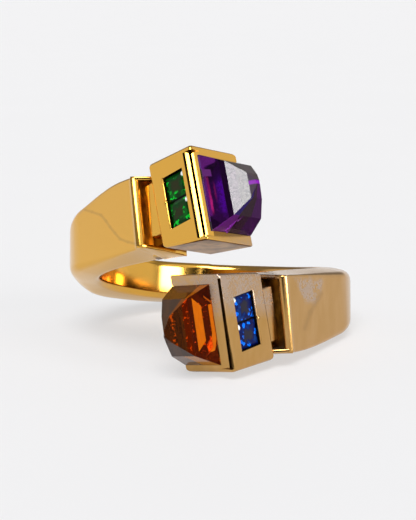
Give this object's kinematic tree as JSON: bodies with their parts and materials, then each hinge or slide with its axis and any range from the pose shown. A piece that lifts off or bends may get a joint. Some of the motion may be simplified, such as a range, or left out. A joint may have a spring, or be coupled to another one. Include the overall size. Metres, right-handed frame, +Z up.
{
  "type": "wrap ring",
  "caption": "Wrap ring whose two flat gold arms pass each other in front of the finger, each ending in a leaning square head with a tall step-cut stone and a window of square stones.",
  "frame": {"origin": "on the floor under the middle of the ring's bounding box, with the ring lying on its side as it rests by itself", "axes": "+X to the right along the ring's width, -Y towards the two heads, +Z up; the finger axis leans 15.9 degrees from +Z towards +Y"},
  "size_m": [0.0218, 0.0266, 0.0159],
  "materials": {
    "gold": "polished yellow gold, paler and worn on the lower arm",
    "amethyst": "polished step-cut purple stone",
    "citrine": "polished step-cut orange stone",
    "green_stone": "polished square green stone",
    "blue_stone": "polished square blue stone"
  },
  "bodies": {
    "root": {"gold_body": "gold", "amethyst": "amethyst", "citrine": "citrine", "upper_green": "green_stone", "lower_green": "green_stone", "upper_blue": "blue_stone", "lower_blue": "blue_stone"}
  },
  "joints": []
}
